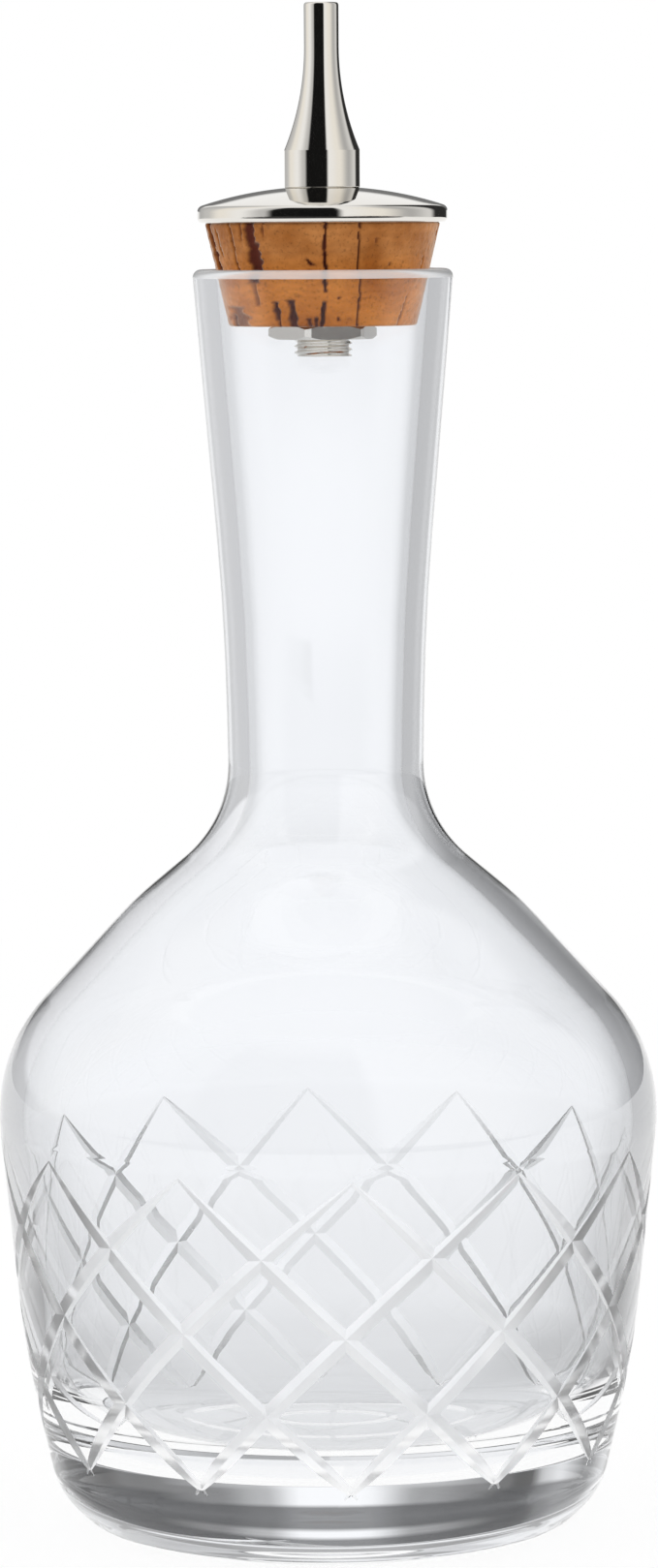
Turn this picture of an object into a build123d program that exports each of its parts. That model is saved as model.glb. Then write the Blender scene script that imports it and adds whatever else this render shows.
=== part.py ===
from build123d import *
import os
from math import atan2, cos, radians, sin, tan

# Bitters bottle: a clear glass bottle, and a tapered cork that carries a metal dasher top.
# Lengths are in millimetres. +Z is up and -Y is the front. The origin is the centre of the foot,
# on the surface that the bottle stands on.

# Glass bottle: the corners of its outer section, before they are rounded
glass_height = 130.7
foot_radius = 24.7
heel_radius = 28.6
heel_height = 3.6
wall_radius = 31.85
wall_height = 18.1
shoulder_radius = 35.0
shoulder_height = 49.2
slope_radius = 20.0
slope_height = 65.4
root_radius = 10.05
root_height = 73.65
waist_radius = 10.4
waist_height = 94.3
rim_radius = 13.5

# Each rounding, as the share of the shorter run beside its corner that it takes up
foot_share = 0.33
heel_share = 0.48
wall_share = 0.45
shoulder_share = 0.36
slope_share = 0.21
root_share = 0.48
waist_share = 0.45

# Glass bottle: wall, base and mouth
base_thickness = 8.8
body_wall = 2.5
neck_wall = 2.2
mouth_radius = 11.05
outer_lip_rounding = 0.9
inner_lip_rounding = 0.6
inner_wall_share = 0.10
floor_share = 0.88

# Cork: a plain cone, wider at the top, with a hole for the stem
cork_height = 10.45
cork_depth_in_mouth = 5.7
cork_taper = 0.234
cork_clearance = 0.08
cork_edge_rounding = 0.25

# Threaded stem: a hollow tube of 6 mm over the thread
stem_radius = 3.0
stem_bore_radius = 1.6
stem_reach_below_cork = 3.15
stem_reach_into_spout = 2.9
thread_pitch = 0.65
thread_depth = 0.32
thread_flat_share = 0.12
fit_clearance = 0.05

# Hexagon nut: 10 mm across its flats
nut_across_flats = 10.0
nut_thickness = 1.4
nut_turn_degrees = 12.5
nut_chamfer = 0.45

# Dome cap: a disc with a low spherical top
cap_radius = 12.9
cap_edge_height = 1.65
cap_dome_rise = 1.9
cap_dome_radius = 38.4
cap_edge_rounding = 0.5

# Dasher spout: a collar, a hollow-sided cone and a slim tip
collar_radius = 3.9
collar_height = 3.86
collar_rounding = 0.15
cone_height = 10.64
tip_radius = 1.78
tip_length = 4.5
tip_rounding = 0.3
spout_bore_radius = 1.15

# Heights of the pieces above the foot, from the mouth upwards
seat_height = glass_height - inner_lip_rounding
cork_bottom = glass_height - cork_depth_in_mouth
cork_top = cork_bottom + cork_height
nut_bottom = cork_bottom - nut_thickness
stem_bottom = cork_bottom - stem_reach_below_cork
collar_bottom = cork_top + cap_edge_height + cap_dome_rise
collar_top = collar_bottom + collar_height
stem_top = collar_bottom + stem_reach_into_spout
cone_top = collar_top + cone_height
spout_top = cone_top + tip_length

os.makedirs("parts", exist_ok=True)


def save(part, name):
    part.label = name
    export_step(part, "parts/" + name + ".step")


def rounding(before, corner, after, share):
    """The radius whose arc takes up a share of the shorter run beside a corner."""
    runs = (Vector(*before) - Vector(*corner), Vector(*after) - Vector(*corner))
    half_angle = runs[0].get_angle(runs[1]) / 2
    return share * min(run.length for run in runs) * tan(radians(half_angle))


def inset(before, corner, after, wall):
    """A corner moved inwards, so that both of its runs lie a wall's thickness further in."""
    turns = [
        atan2(end[1] - start[1], end[0] - start[0])
        for start, end in ((before, corner), (corner, after))
    ]
    sides = [Vector(-sin(turn), cos(turn)) for turn in turns]
    step = (sides[0] + sides[1]) * (wall / (1 + sides[0].dot(sides[1])))
    return (corner[0] + step.X, corner[1] + step.Y)


# Glass bottle: outer corners from the foot's centre up to the rim
foot_centre = (0, 0)
foot = (foot_radius, 0)
heel = (heel_radius, heel_height)
wall = (wall_radius, wall_height)
shoulder = (shoulder_radius, shoulder_height)
slope = (slope_radius, slope_height)
root = (root_radius, root_height)
waist = (waist_radius, waist_height)
rim = (rim_radius, glass_height)
mouth = (mouth_radius, glass_height)

# Inner corners, from the mouth down to the thick floor
inner_waist = inset(root, waist, rim, neck_wall)
inner_root = inset(slope, root, waist, neck_wall)
inner_slope = inset(shoulder, slope, root, body_wall)
inner_shoulder = inset(wall, shoulder, slope, body_wall)
inner_wall = inset(heel, wall, shoulder, body_wall)
inner_heel = inset(foot, heel, wall, body_wall)
wall_lean = (inner_wall[0] - inner_heel[0]) / (inner_wall[1] - inner_heel[1])
floor_radius = inner_wall[0] - wall_lean * (inner_wall[1] - base_thickness)
floor_edge = (floor_radius, base_thickness)
floor_centre = (0, base_thickness)

with BuildPart() as glass_bottle:
    with BuildSketch(Plane.XZ):
        with BuildLine():
            FilletPolyline(
                foot_centre, foot, heel, wall, shoulder, slope, root, waist, rim,
                mouth, inner_waist, inner_root, inner_slope, inner_shoulder, inner_wall,
                floor_edge, floor_centre,
                radius=[
                    rounding(foot_centre, foot, heel, foot_share),
                    rounding(foot, heel, wall, heel_share),
                    rounding(heel, wall, shoulder, wall_share),
                    rounding(wall, shoulder, slope, shoulder_share),
                    rounding(shoulder, slope, root, slope_share),
                    rounding(slope, root, waist, root_share),
                    rounding(root, waist, rim, waist_share),
                    outer_lip_rounding,
                    inner_lip_rounding,
                    rounding(mouth, inner_waist, inner_root, waist_share),
                    rounding(inner_waist, inner_root, inner_slope, root_share),
                    rounding(inner_root, inner_slope, inner_shoulder, slope_share),
                    rounding(inner_slope, inner_shoulder, inner_wall, shoulder_share),
                    rounding(inner_shoulder, inner_wall, floor_edge, inner_wall_share),
                    rounding(inner_wall, floor_edge, floor_centre, floor_share),
                ],
            )
            Line(floor_centre, foot_centre)
        make_face()
    revolve(axis=Axis.Z)
save(glass_bottle.part, "glass_bottle")

# Cork: its side clears the lip by the cork's own clearance at the height where it seats
cork_seat_radius = mouth_radius - cork_clearance
cork_top_radius = cork_seat_radius + cork_taper * (cork_top - seat_height)
cork_bottom_radius = cork_seat_radius - cork_taper * (seat_height - cork_bottom)
stem_hole_radius = stem_radius + fit_clearance

with BuildPart() as cork_stopper:
    with BuildSketch(Plane.XZ):
        with BuildLine():
            FilletPolyline(
                (stem_hole_radius, cork_bottom),
                (cork_bottom_radius, cork_bottom),
                (cork_top_radius, cork_top),
                (stem_hole_radius, cork_top),
                radius=cork_edge_rounding,
            )
            Line((stem_hole_radius, cork_top), (stem_hole_radius, cork_bottom))
        make_face()
    revolve(axis=Axis.Z)
save(cork_stopper.part, "cork_stopper")

# Dome cap: it lies flat on the cork, and its land carries the spout's collar
cap_land_radius = collar_radius
cap_edge_top = cork_top + cap_edge_height

with BuildPart() as dome_cap:
    with BuildSketch(Plane.XZ) as cap_section:
        with BuildLine():
            Polyline(
                (cap_land_radius, collar_bottom),
                (stem_hole_radius, collar_bottom),
                (stem_hole_radius, cork_top),
                (cap_radius, cork_top),
                (cap_radius, cap_edge_top),
            )
            RadiusArc((cap_radius, cap_edge_top), (cap_land_radius, collar_bottom), -cap_dome_radius)
        make_face()
        fillet(cap_section.vertices().group_by(Axis.X)[-1], cap_edge_rounding)
    revolve(axis=Axis.Z)
save(dome_cap.part, "dome_cap")

# Threaded stem: a tube, with its thread cut into the end that shows below the nut
thread_length = nut_bottom - stem_bottom
thread_start = stem_bottom - thread_pitch
groove_root_radius = stem_radius - thread_depth
groove_half_width = thread_pitch * (1 - thread_flat_share) / 2

with BuildPart() as threaded_stem:
    with BuildSketch(Plane.XY.offset(stem_bottom)):
        Circle(stem_radius)
        Circle(stem_bore_radius, mode=Mode.SUBTRACT)
    extrude(amount=stem_top - stem_bottom)
    with BuildLine(Plane.XY.offset(thread_start)) as thread_path:
        Helix(pitch=thread_pitch, height=thread_length, radius=stem_radius)
    with BuildSketch(Plane(origin=thread_path.line @ 0, x_dir=(1, 0, 0), z_dir=thread_path.line % 0)):
        with BuildLine():
            Polyline(
                (thread_depth, 2 * groove_half_width),
                (-thread_depth, 0),
                (thread_depth, -2 * groove_half_width),
                close=True,
            )
        make_face()
    sweep(path=thread_path.line, is_frenet=True, mode=Mode.SUBTRACT)
save(threaded_stem.part, "threaded_stem")

# Hexagon nut: it clamps the cork from below, with its lower corners turned off
nut_corner_radius = nut_across_flats / 2 / cos(radians(180 / 6))
nut_hole_radius = stem_radius + fit_clearance

with BuildPart() as hex_nut:
    with BuildSketch(Plane.XY.offset(nut_bottom)):
        RegularPolygon(nut_corner_radius, 6, rotation=nut_turn_degrees)
        Circle(nut_hole_radius, mode=Mode.SUBTRACT)
    extrude(amount=nut_thickness)
    with BuildSketch(Plane.XZ):
        with BuildLine():
            Polyline(
                (0, nut_bottom),
                (nut_corner_radius - 2 * nut_chamfer, nut_bottom),
                (nut_corner_radius, nut_bottom + nut_chamfer),
                (nut_corner_radius, cork_bottom),
                (0, cork_bottom),
                close=True,
            )
        make_face()
    revolve(axis=Axis.Z, mode=Mode.INTERSECT)
save(hex_nut.part, "hex_nut")

# Dasher spout: screwed onto the stem, with a bore right through to its tip
with BuildPart() as dasher_spout:
    with BuildSketch(Plane.XZ) as spout_section:
        with BuildLine():
            Line((tip_radius, spout_top), (tip_radius, cone_top))
            TangentArc((tip_radius, cone_top), (collar_radius, collar_top), tangent=(0, -1))
            Polyline(
                (collar_radius, collar_top),
                (collar_radius, collar_bottom),
                (stem_hole_radius, collar_bottom),
                (stem_hole_radius, stem_top),
                (stem_bore_radius, stem_top),
                (spout_bore_radius, spout_top),
                (tip_radius, spout_top),
            )
        make_face()
        fillet(spout_section.vertices().sort_by_distance((tip_radius, 0, spout_top))[0], tip_rounding)
    revolve(axis=Axis.Z)
save(dasher_spout.part, "dasher_spout")

for name, part in (
    ("glass bottle", glass_bottle.part),
    ("cork stopper", cork_stopper.part),
    ("dome cap", dome_cap.part),
    ("threaded stem", threaded_stem.part),
    ("hex nut", hex_nut.part),
    ("dasher spout", dasher_spout.part),
):
    print(name, "volume", round(part.volume, 1), "valid", part.is_valid)
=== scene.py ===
# %% [markdown]
# # Dressing a cut-glass bitters bottle
# The real object is a thick clear bottle with a band of wheel-cut grooves, a tapered natural cork, and
# a polished metal fitting that lets out drops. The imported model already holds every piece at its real
# size and says what moves. This lesson loads it as a fixed frame and gives each piece its finished
# surface.

# %% Load the frame
import random
from math import asin, atan2, cos, hypot, pi, radians, sin, tan

import bmesh
import bpy
from mathutils import Matrix, Vector, noise


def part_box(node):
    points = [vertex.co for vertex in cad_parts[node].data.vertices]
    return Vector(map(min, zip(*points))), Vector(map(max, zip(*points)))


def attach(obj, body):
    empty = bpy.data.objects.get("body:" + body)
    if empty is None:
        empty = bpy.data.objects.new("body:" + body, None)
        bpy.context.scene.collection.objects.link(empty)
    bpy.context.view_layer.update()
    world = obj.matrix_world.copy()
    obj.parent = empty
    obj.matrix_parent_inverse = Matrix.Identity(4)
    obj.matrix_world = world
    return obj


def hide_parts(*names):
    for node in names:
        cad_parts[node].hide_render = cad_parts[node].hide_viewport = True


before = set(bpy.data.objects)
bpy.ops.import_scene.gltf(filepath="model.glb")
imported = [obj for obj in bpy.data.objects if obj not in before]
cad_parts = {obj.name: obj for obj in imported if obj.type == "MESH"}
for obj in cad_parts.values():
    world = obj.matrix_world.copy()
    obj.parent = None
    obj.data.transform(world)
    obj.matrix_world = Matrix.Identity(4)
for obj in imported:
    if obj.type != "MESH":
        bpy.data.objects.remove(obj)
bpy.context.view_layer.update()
mm = 0.001
print("nodes:", sorted(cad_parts))

# %% [markdown]
# A camera that stands far off with a long lens keeps the bottle's sides nearly parallel, as in the
# photograph. Its height shows in the ellipses: the cap is seen edge-on, while the foot is seen from
# well above. So the camera stands a little above the rim and tips down towards the middle of the
# bottle.

# %% Camera
photo_height = 1619
focal_pixels = 6183
camera_distance = 620 * mm
camera_height = 137 * mm
camera_side_step = 0.31 * mm
camera_tip_degrees = 5.5
camera_roll_degrees = -0.36
sensor_height = 24

camera_data = bpy.data.cameras.new("studio_camera")
camera_data.sensor_fit = "VERTICAL"
camera_data.sensor_height = sensor_height
camera_data.lens = focal_pixels / photo_height * sensor_height
camera_data.clip_start = 10 * mm
camera_data.clip_end = 50
camera = bpy.data.objects.new("studio_camera", camera_data)
camera.matrix_world = (
    Matrix.Translation((camera_side_step, -camera_distance, camera_height))
    @ Matrix.Rotation(radians(90 - camera_tip_degrees), 4, "X")
    @ Matrix.Rotation(radians(camera_roll_degrees), 4, "Z")
)
bpy.context.scene.collection.objects.link(camera)
bpy.context.scene.camera = camera
print("lens", round(camera_data.lens, 1), "mm on a sensor", sensor_height, "mm high")

# %% [markdown]
# Every turned piece starts as half of its section, drawn as a wire in the XZ plane. A straight run is
# an edge, and a rounded corner is a vertex that the spin operator swings about the arc's centre. That
# gives true arcs, which matters on glass and polished metal, where the eye reads every change of
# curvature.

# %% Drawing a section and turning it
GLASS_STEPS = 192
GLASS_ARC_STEP = 1.5
METAL_STEPS = 160
ARC_STEP_DEGREES = 4
MERGE_DISTANCE = 1e-7


def draw_run(bm, last, point):
    """Adds a straight run from the last vertex, and returns the new end."""
    end = bm.verts.new((point[0] * mm, 0, point[1] * mm))
    if last is not None:
        bm.edges.new((last, end))
    return end


def draw_arc(bm, last, centre, turn, steps):
    """Swings the last vertex about a centre, and returns the new end."""
    swung = bmesh.ops.spin(
        bm, geom=[last], cent=(centre[0] * mm, 0, centre[1] * mm), axis=(0, -1, 0),
        angle=turn, steps=steps, use_merge=False,
    )
    return swung["geom_last"][0]


def draw_section(bm, corners, cuts, last=None, first=0, stop=None, arc_step=ARC_STEP_DEGREES):
    """Draws a wire through the corners. Each cut is how far from its corner the rounding starts, or 0."""
    for index in range(first, len(corners) if stop is None else stop):
        corner, cut = corners[index], cuts[index]
        if not cut:
            last = draw_run(bm, last, corner)
            continue
        here = Vector(corner)
        before = (here - Vector(corners[index - 1])).normalized()
        after = (Vector(corners[index + 1]) - here).normalized()
        turn = atan2(before.cross(after), before.dot(after))
        last = draw_run(bm, last, here - before * cut)
        radius = cut / tan(turn / 2)
        centre = here - before * cut + Vector((-before.y, before.x)) * radius
        steps = max(2, round(abs(turn) / radians(arc_step)))
        last = draw_arc(bm, last, centre, turn, steps)
    return last


def turn_on_lathe(bm, steps):
    """Spins the whole wire about the Z axis into a closed shape, with its normals facing out."""
    bmesh.ops.spin(
        bm, geom=bm.verts[:] + bm.edges[:], cent=(0, 0, 0), axis=(0, 0, 1),
        angle=2 * pi, steps=steps, use_merge=True,
    )
    bmesh.ops.remove_doubles(bm, verts=bm.verts, dist=MERGE_DISTANCE)
    bmesh.ops.recalc_face_normals(bm, faces=bm.faces)


def share_cuts(corners, shares):
    """Turns shares of the shorter run beside each corner into lengths."""
    cuts = [0] * len(corners)
    for index, share in shares.items():
        here = Vector(corners[index])
        runs = (here - Vector(corners[index - 1]), here - Vector(corners[index + 1]))
        cuts[index] = share * min(run.length for run in runs)
    return cuts


def inset(before, corner, after, wall):
    """A corner moved inwards, so that both of its runs lie a wall's thickness further in."""
    sides = []
    for start, end in ((before, corner), (corner, after)):
        run = (Vector(end) - Vector(start)).normalized()
        sides.append(Vector((-run.y, run.x)))
    step = (sides[0] + sides[1]) * (wall / (1 + sides[0].dot(sides[1])))
    return (corner[0] + step.x, corner[1] + step.y)


def mesh_object(bm, name, materials):
    """Turns a bmesh into an object in the scene."""
    mesh = bpy.data.meshes.new(name)
    bm.to_mesh(mesh)
    bm.free()
    for material in materials:
        mesh.materials.append(material)
    made = bpy.data.objects.new(name, mesh)
    bpy.context.scene.collection.objects.link(made)
    return made


def finish_piece(bm, name, body, nodes, materials, sharp_degrees):
    """Makes a smooth piece that rides on its body. Its edges are sharp where it turns or changes finish."""
    for face in bm.faces:
        face.smooth = True
    for edge in bm.edges:
        if len(edge.link_faces) != 2:
            continue
        finishes = {face.material_index for face in edge.link_faces}
        if edge.calc_face_angle(0) > radians(sharp_degrees) or len(finishes) > 1:
            edge.smooth = False
    piece = mesh_object(bm, name, materials)
    weighted = piece.modifiers.new("weighted_normals", "WEIGHTED_NORMAL")
    weighted.keep_sharp = True
    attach(piece, body)
    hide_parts(*nodes)
    print(name, "faces", len(piece.data.polygons))
    return piece


# %% [markdown]
# ## Materials
# Each finish is a small node tree on the Principled shader. Numbers that hold for the whole surface are
# set on the shader's own sockets, and only what varies over the surface comes through nodes.

# %% Helpers for node trees
def new_material(name, **inputs):
    """A material with one Principled shader, whose sockets are set by name."""
    material = bpy.data.materials.new(name)
    material.use_nodes = True
    shader = material.node_tree.nodes["Principled BSDF"]
    for socket, value in inputs.items():
        shader.inputs[socket.replace("_", " ")].default_value = value
    return material, shader


def add_node(material, kind, settings=None, **inputs):
    """Adds a node, sets its properties and its input sockets, and returns it."""
    made = material.node_tree.nodes.new(kind)
    for name, value in (settings or {}).items():
        setattr(made, name, value)
    for socket, value in inputs.items():
        made.inputs[socket.replace("_", " ")].default_value = value
    return made


def link(material, out_socket, in_socket):
    material.node_tree.links.new(out_socket, in_socket)


def colour_mix(owner, factor, first, second, blend="MIX"):
    """Mixes two colours. Each input is another node's output, a number or a colour."""
    made = owner.node_tree.nodes.new("ShaderNodeMix")
    made.data_type = "RGBA"
    made.blend_type = blend
    colour_inputs = [socket for socket in made.inputs if socket.type == "RGBA"]
    for socket, value in zip((made.inputs[0], *colour_inputs), (factor, first, second)):
        if isinstance(value, bpy.types.NodeSocket):
            link(owner, value, socket)
        else:
            socket.default_value = value
    return next(socket for socket in made.outputs if socket.type == "RGBA")


def shade_along(owner, value, stops, interpolation="EASE"):
    """A colour that follows a value through stops: a list of (place from 0 to 1, grey or colour)."""
    made = add_node(owner, "ShaderNodeValToRGB")
    ramp = made.color_ramp
    ramp.interpolation = interpolation
    while len(ramp.elements) < len(stops):
        ramp.elements.new(1.0)
    for element, (at, shade) in zip(ramp.elements, stops):
        element.position = at
        element.color = (*shade, 1) if isinstance(shade, tuple) else (shade, shade, shade, 1)
    link(owner, value, made.inputs["Fac"])
    return made.outputs["Color"]


def fade(owner, value, start, end, low=0.0, high=1.0, smooth=False):
    """A number that goes from low to high while a value goes from start to end."""
    made = add_node(owner, "ShaderNodeMapRange", From_Min=start, From_Max=end, To_Min=low, To_Max=high)
    if smooth:
        made.interpolation_type = "SMOOTHSTEP"
    link(owner, value, made.inputs["Value"])
    return made.outputs["Result"]


def math_node(owner, operation, first, second=None, third=None):
    """A math node. Each input is another node's output or a number."""
    made = owner.node_tree.nodes.new("ShaderNodeMath")
    made.operation = operation
    for socket, value in zip(made.inputs, (first, second, third)):
        if isinstance(value, (int, float)):
            socket.default_value = value
        elif value is not None:
            link(owner, value, socket)
    return made.outputs[0]


def product(owner, first, *others):
    """Multiplies several numbers."""
    for other in others:
        first = math_node(owner, "MULTIPLY", first, other)
    return first


def rest_of(owner, share):
    """What a share leaves over, up to 1."""
    return math_node(owner, "SUBTRACT", 1.0, share)


def add_bump(material, shader, height, **inputs):
    """Lets a value raise and lower the surface that the light sees."""
    bump = add_node(material, "ShaderNodeBump", **inputs)
    link(material, height, bump.inputs["Height"])
    link(material, bump.outputs["Normal"], shader.inputs["Normal"])


def show_mix(material, share, first, second):
    """Shows two shaders on the material's surface, with a share of the second."""
    mix = add_node(material, "ShaderNodeMixShader")
    for socket, value in zip(mix.inputs, (share, first.outputs[0], second.outputs[0])):
        link(material, value, socket)
    link(material, mix.outputs[0], material.node_tree.nodes["Material Output"].inputs["Surface"])


# %% [markdown]
# Clear glass needs almost nothing of its own: its look is what it bends and mirrors. A trace of colour
# keeps a faint cool tint where it is thick. The cuts and the lip are ground, so they are rougher and let
# less light through. A render engine seldom finds a lamp through a bent surface, and what stands inside
# glass comes out too dark. The usual cure is a Light Path node: rays that test for light pass the glass as
# if it were a faintly tinted pane.

# %% Clear, cut and frosted glass
glass_index = 1.52


def new_glass(name, colour, roughness, transmission, pane_colour):
    """Glass that is a Transparent shader for shadow rays alone."""
    material, shader = new_material(
        name, Base_Color=colour, Roughness=roughness, IOR=glass_index, Transmission_Weight=transmission,
    )
    pane = add_node(material, "ShaderNodeBsdfTransparent", Color=pane_colour)
    rays = add_node(material, "ShaderNodeLightPath")
    show_mix(material, rays.outputs["Is Shadow Ray"], shader, pane)
    return material


clear_glass = new_glass("clear_glass", (0.985, 0.99, 0.995, 1), 0.0, 1.0, (0.98, 0.985, 0.99, 1))
cut_glass = new_glass("cut_glass", (0.97, 0.975, 0.98, 1), 0.28, 0.80, (0.95, 0.955, 0.96, 1))
lip_glass = new_glass("frosted_lip", (0.96, 0.97, 0.98, 1), 0.25, 0.60, (0.95, 0.955, 0.96, 1))

# %% [markdown]
# ## The bottle
# The bottle's outer wall and its cavity are one closed section. The corners and their roundings are the
# same real sizes that the frame has.

# %% Bottle section
glass_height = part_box("glass_bottle")[1].z / mm
foot = (24.7, 0)
heel = (28.6, 3.6)
wall = (31.85, 18.1)
shoulder = (35.0, 49.2)
slope = (20.0, 65.4)
root = (10.05, 73.65)
waist = (10.4, 94.3)
rim = (13.5, glass_height)
mouth = (11.05, glass_height)
base_thickness = 8.8
body_wall = 2.5
neck_wall = 2.2
outer_lip_rounding = 0.9
inner_lip_rounding = 0.6

outer_corners = [(0, 0), foot, heel, wall, shoulder, slope, root, waist, rim, mouth]
outer_shares = {1: 0.33, 2: 0.48, 3: 0.45, 4: 0.36, 5: 0.21, 6: 0.48, 7: 0.45}
outer_cuts = share_cuts(outer_corners, outer_shares)
outer_cuts[8] = outer_lip_rounding

inner_waist = inset(root, waist, rim, neck_wall)
inner_root = inset(slope, root, waist, neck_wall)
inner_slope = inset(shoulder, slope, root, body_wall)
inner_shoulder = inset(wall, shoulder, slope, body_wall)
inner_wall = inset(heel, wall, shoulder, body_wall)
inner_heel = inset(foot, heel, wall, body_wall)
wall_lean = (inner_wall[0] - inner_heel[0]) / (inner_wall[1] - inner_heel[1])
floor_edge = (inner_wall[0] - wall_lean * (inner_wall[1] - base_thickness), base_thickness)
press_mark = [
    (16.6, base_thickness), (15.2, base_thickness + 0.30), (13.8, base_thickness),
    (7.4, base_thickness - 0.05), (6.3, base_thickness + 0.28), (5.2, base_thickness - 0.05),
    (0, base_thickness - 0.1),
]
inner_corners = [
    rim, mouth, inner_waist, inner_root, inner_slope, inner_shoulder, inner_wall, floor_edge,
    *press_mark,
]
inner_shares = {2: 0.45, 3: 0.48, 4: 0.21, 5: 0.36, 6: 0.10, 7: 0.88}
press_mark_share = 0.45
inner_shares.update({index: press_mark_share for index in range(8, 14)})
inner_cuts = share_cuts(inner_corners, inner_shares)
inner_cuts[1] = inner_lip_rounding
print("cavity floor radius", round(floor_edge[0], 2), "mm")

# %% [markdown]
# ## The cut band
# A glass cutter rolls the bottle against a V-edged wheel. Twelve cuts lean each way. Each starts at a
# point under the shoulder, runs a sixth of the way round while it drops, and ends at a point above the
# heel, so the two sets cross in rows of diamonds. A mesh whose edges run along the cuts can hold the
# grooves with crisp edges: a grid of rectangles is poked, so that each gets its diagonals, and its own
# edges are dissolved, which leaves a grid of diamonds. Its lines are then drawn in to the grooves'
# edges and pushed in along their beds.

# %% Sizes of the cut band
cuts_each_way = 12
lines_per_cut = GLASS_STEPS // cuts_each_way
band_top = 40.9
band_bottom = 8.6
band_rows = 2 * lines_per_cut
rows_above, rows_below = 1, 2
row_height = (band_top - band_bottom) / band_rows
band_phase_degrees = 4.0
band_drift_degrees = -1.1
groove_half_width = 0.88
groove_depth = 0.42
groove_tip_half_width = 0.06
widening_share = 0.34
closing_share = 0.15
widening_power = 0.9
closing_power = 0.8
cut_end_share = 1.02
LEVEL_TOLERANCE = 1e-3
row_levels = [band_top - row * row_height for row in range(-rows_above, band_rows + rows_below + 1)]

# %% [markdown]
# The wall's wire needs a vertex at each level of the band, and none between. Level planes cut the wire
# there, and the vertices that its arcs left between the levels are dissolved. Then the cavity follows,
# and the lathe turns.

# %% Draw the section with level rows
bottle = bmesh.new()
outer_end = draw_section(bottle, outer_corners, outer_cuts, stop=8, arc_step=GLASS_ARC_STEP)
outer_end = draw_section(bottle, outer_corners, outer_cuts, last=outer_end, first=8, stop=9, arc_step=8)
for level in row_levels:
    bmesh.ops.bisect_plane(
        bottle, geom=bottle.verts[:] + bottle.edges[:], dist=MERGE_DISTANCE,
        plane_co=(0, 0, level * mm), plane_no=(0, 0, 1),
    )
between = [
    v for v in bottle.verts
    if row_levels[-1] < v.co.z / mm < row_levels[0]
    and min(abs(v.co.z / mm - level) for level in row_levels) > LEVEL_TOLERANCE
]
bmesh.ops.dissolve_verts(bottle, verts=between)
level_radius = {}
for v in bottle.verts:
    for row, level in enumerate(row_levels, -rows_above):
        if abs(v.co.z / mm - level) < LEVEL_TOLERANCE:
            level_radius[row] = v.co.x / mm
print("rows in the band", len(level_radius), "of", len(row_levels))
lip_end = draw_section(bottle, inner_corners, inner_cuts, last=outer_end, first=1, stop=2, arc_step=10)
draw_section(bottle, inner_corners, inner_cuts, last=lip_end, first=2, arc_step=GLASS_ARC_STEP)
turn_on_lathe(bottle, GLASS_STEPS)
bmesh.ops.rotate(
    bottle, verts=bottle.verts, cent=(0, 0, 0), matrix=Matrix.Rotation(radians(band_phase_degrees), 3, "Z"),
)

# %% [markdown]
# Only the wall's outward faces between those levels are poked, not the cavity's faces inside them.

# %% Turn the band's rectangles into diamonds
def is_in_band(face):
    """Whether a face belongs to the outer wall between the first and the last row."""
    middle = face.calc_center_median()
    faces_out = face.normal.x * middle.x + face.normal.y * middle.y > 0
    on_wall = middle.xy.length / mm > foot[0]
    return on_wall and faces_out and row_levels[-1] < middle.z / mm < row_levels[0]


band = [face for face in bottle.faces if is_in_band(face)]
poked = bmesh.ops.poke(bottle, faces=band, center_mode="MEAN")
poke_centres = set(poked["verts"])
poke_faces = set(poked["faces"])
old_edges = [
    edge for edge in bottle.edges
    if len(edge.link_faces) == 2 and all(face in poke_faces for face in edge.link_faces)
    and not any(v in poke_centres for v in edge.verts)
]
bmesh.ops.dissolve_edges(bottle, edges=old_edges, use_verts=False, use_face_split=False)
print("band faces", len(band), "dissolved edges", len(old_edges))

# %% [markdown]
# Each vertex of the diamonds lies on one line of each set. The line's number says whether it is a
# groove's bed, a groove's edge or clear ground between two grooves.

# %% Press the grooves in
step_degrees = 360 / GLASS_STEPS
half_gap = lines_per_cut // 2


def swell(along):
    """How wide and deep a cut is along its length: pointed at both ends, fullest below the middle."""
    rise = min(1, max(0, along) / widening_share)
    fall = min(1, max(0, cut_end_share - along) / closing_share)
    return (rise * (2 - rise)) ** widening_power * (fall * (2 - fall)) ** closing_power


def draw_in(line, edge_line):
    """Moves a line's number, so that the lines beside a groove lie on its edges."""
    cut = round(line / lines_per_cut)
    offset = line - cut * lines_per_cut
    if offset == 0:
        return line
    side = 1 if offset > 0 else -1
    spread = (abs(offset) - 1) * (half_gap - edge_line) / (half_gap - 1)
    return cut * lines_per_cut + side * (edge_line + spread)


def radius_at(row):
    """The outer wall's radius at a row, between the rows where it is known."""
    low = int(max(-rows_above, min(band_rows + rows_below - 1, row // 1)))
    part = row - low
    return level_radius[low] * (1 - part) + level_radius[low + 1] * part


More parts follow.
